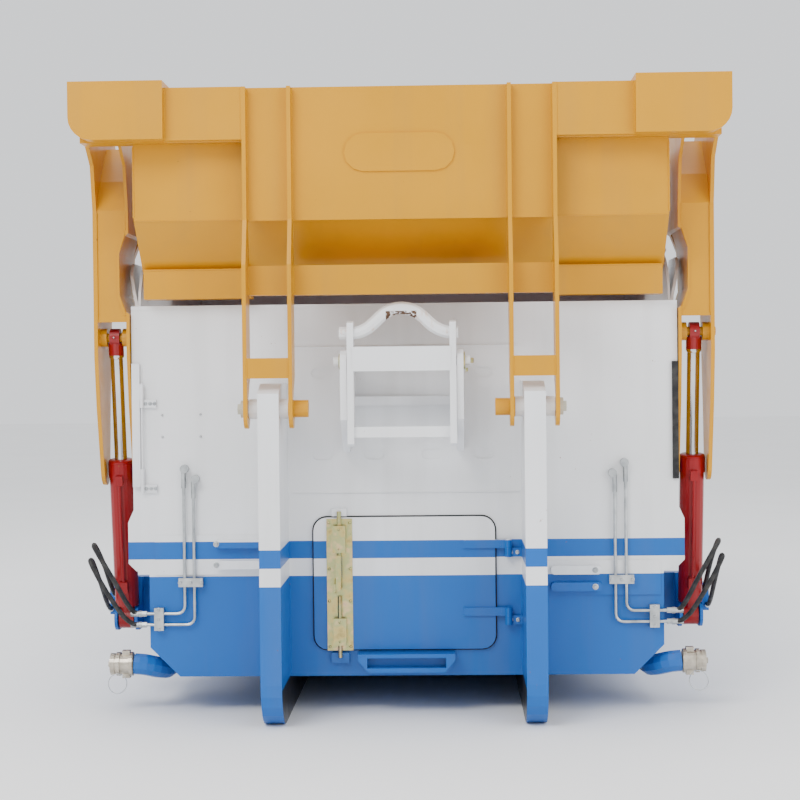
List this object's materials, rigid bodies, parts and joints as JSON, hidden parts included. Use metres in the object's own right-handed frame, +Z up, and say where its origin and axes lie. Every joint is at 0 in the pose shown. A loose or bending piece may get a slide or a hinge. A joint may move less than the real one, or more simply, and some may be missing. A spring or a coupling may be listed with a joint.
{
  "type": "hook-lift waste compactor",
  "caption": "Skid-mounted waste press container with hook frame, front tipping hopper, lift cylinders, hatch and rear door.",
  "frame": {"origin": "middle of the base, on the ground between the two skid rails", "axes": "+X to the right seen from the hook end, +Y from the hook end to the rear door, +Z up"},
  "size_m": [2.4544, 5.25, 2.418],
  "materials": {
    "yellow_paint": "gloss yellow paint over welded plate",
    "white_paint": "gloss white paint",
    "blue_paint": "gloss blue paint with white bands",
    "red_paint": "gloss red paint on cylinders",
    "bright_steel": "bright or galvanised steel",
    "zinc_plate": "yellow zinc plate",
    "nickel": "cast nickel-coloured coupling",
    "black_rubber": "black rubber"
  },
  "bodies": {
    "root": {"bar_holder_left": "blue_paint", "bar_holder_right": "blue_paint", "catch_lower": "blue_paint", "catch_upper": "white_paint", "container": "blue_paint", "cylinder_bracket_left": "blue_paint", "cylinder_bracket_right": "blue_paint", "drain_coupling_left": "nickel", "drain_coupling_right": "nickel", "drain_elbow_left": "blue_paint", "drain_elbow_right": "blue_paint", "edge_buffer_right": "black_rubber", "flap_hinge": "white_paint", "front_wall": "white_paint", "hatch_hinge_lower": "blue_paint", "hatch_hinge_upper": "blue_paint", "hatch_step": "blue_paint", "hook_backing_plate": "white_paint", "hook_bracket": "white_paint", "hopper_pivot_left": "blue_paint", "hopper_pivot_right": "blue_paint", "hose_lower_left": "black_rubber", "hose_lower_right": "black_rubber", "hose_upper_left": "black_rubber", "hose_upper_right": "black_rubber", "pipework_left": "bright_steel", "pipework_right": "bright_steel", "post_pin_left": "yellow_paint", "post_pin_right": "yellow_paint", "press_chamber": "blue_paint", "press_cylinder_left": "bright_steel", "press_cylinder_right": "bright_steel", "skid_rail_left": "blue_paint", "skid_rail_right": "blue_paint", "throat_hood": "white_paint"},
    "hopper": {"hopper_pan": "yellow_paint", "lower_beam_left": "yellow_paint", "lower_beam_right": "yellow_paint", "lower_beam_centre": "yellow_paint", "lip_beam": "yellow_paint", "centre_panel": "yellow_paint", "hopper_arm_left": "yellow_paint", "hopper_arm_right": "yellow_paint", "outer_arm_left": "yellow_paint", "outer_arm_right": "yellow_paint"},
    "lift_barrels": {"cylinder_barrel_left": "red_paint", "cylinder_barrel_right": "red_paint"},
    "lift_rods": {"cylinder_rod_left": "bright_steel", "cylinder_rod_right": "bright_steel"},
    "hook": {"hook_frame": "white_paint"},
    "hatch": {"access_hatch": "white_paint", "latch_base": "zinc_plate"},
    "latch_handle": {"latch_lever": "zinc_plate"},
    "bolt_top": {"latch_bolt_upper": "zinc_plate"},
    "bolt_bottom": {"latch_bolt_lower": "zinc_plate"},
    "flap": {"side_flap": "white_paint"},
    "door": {"rear_door": "blue_paint"},
    "press": {"press_ram": "red_paint"},
    "roller_left": {"rear_roller_left": "bright_steel"},
    "roller_right": {"rear_roller_right": "bright_steel"}
  },
  "joints": [
    {"name": "hopper_tilt", "type": "hinge", "parent": "root", "child": "hopper", "pos_m": [0, -2.125, 0.95], "axis": [1, 0, 0], "range_deg": [0, 68]},
    {"name": "barrel_swing", "type": "hinge", "parent": "root", "child": "lift_barrels", "pos_m": [0, -2.025, 0.345], "axis": [1, 0, 0], "range_deg": [0, 31.35]},
    {"name": "rod_swing", "type": "hinge", "parent": "hopper", "child": "lift_rods", "pos_m": [0, -2.205, 1.476], "axis": [1, 0, 0], "range_deg": [-36.65, 0]},
    {"name": "hook_fold", "type": "hinge", "parent": "root", "child": "hook", "pos_m": [0, -2.47, 1.37], "axis": [1, 0, 0], "range_deg": [-40, 0]},
    {"name": "hatch_swing", "type": "hinge", "parent": "root", "child": "hatch", "pos_m": [0.4, -2.29, 0.5], "axis": [0, 0, 1], "range_deg": [0, 85]},
    {"name": "latch_turn", "type": "hinge", "parent": "hatch", "child": "latch_handle", "pos_m": [-0.259, -2.314, 0.495], "axis": [1, 0, 0], "range_deg": [0, 75]},
    {"name": "top_bolt_slide", "type": "slide", "parent": "hatch", "child": "bolt_top", "axis": [0, 0, 1], "range_m": [-0.03, 0]},
    {"name": "bottom_bolt_slide", "type": "slide", "parent": "hatch", "child": "bolt_bottom", "axis": [0, 0, 1], "range_m": [0, 0.03]},
    {"name": "flap_swing", "type": "hinge", "parent": "root", "child": "flap", "pos_m": [-1.022, -2.282, 1.1], "axis": [0, 0, 1], "range_deg": [0, 100]},
    {"name": "door_swing", "type": "hinge", "parent": "root", "child": "door", "pos_m": [0, 2.59, 2.04], "axis": [1, 0, 0], "range_deg": [0, 85]},
    {"name": "press_stroke", "type": "slide", "parent": "root", "child": "press", "axis": [0, 1, 0], "range_m": [0, 0.55]},
    {"name": "roller_spin_left", "type": "hinge", "parent": "root", "child": "roller_left", "pos_m": [-0.61, 2.275, 0.07], "axis": [1, 0, 0], "continuous": true},
    {"name": "roller_spin_right", "type": "hinge", "parent": "root", "child": "roller_right", "pos_m": [0.61, 2.275, 0.07], "axis": [1, 0, 0], "continuous": true}
  ],
  "couplings": [
    {"joint": "barrel_swing", "follows": "hopper_tilt", "ratio": 0.461},
    {"joint": "rod_swing", "follows": "hopper_tilt", "ratio": -0.539},
    {"joint": "top_bolt_slide", "follows": "latch_turn", "m_per_rad": -0.0229},
    {"joint": "bottom_bolt_slide", "follows": "latch_turn", "m_per_rad": 0.0229}
  ]
}
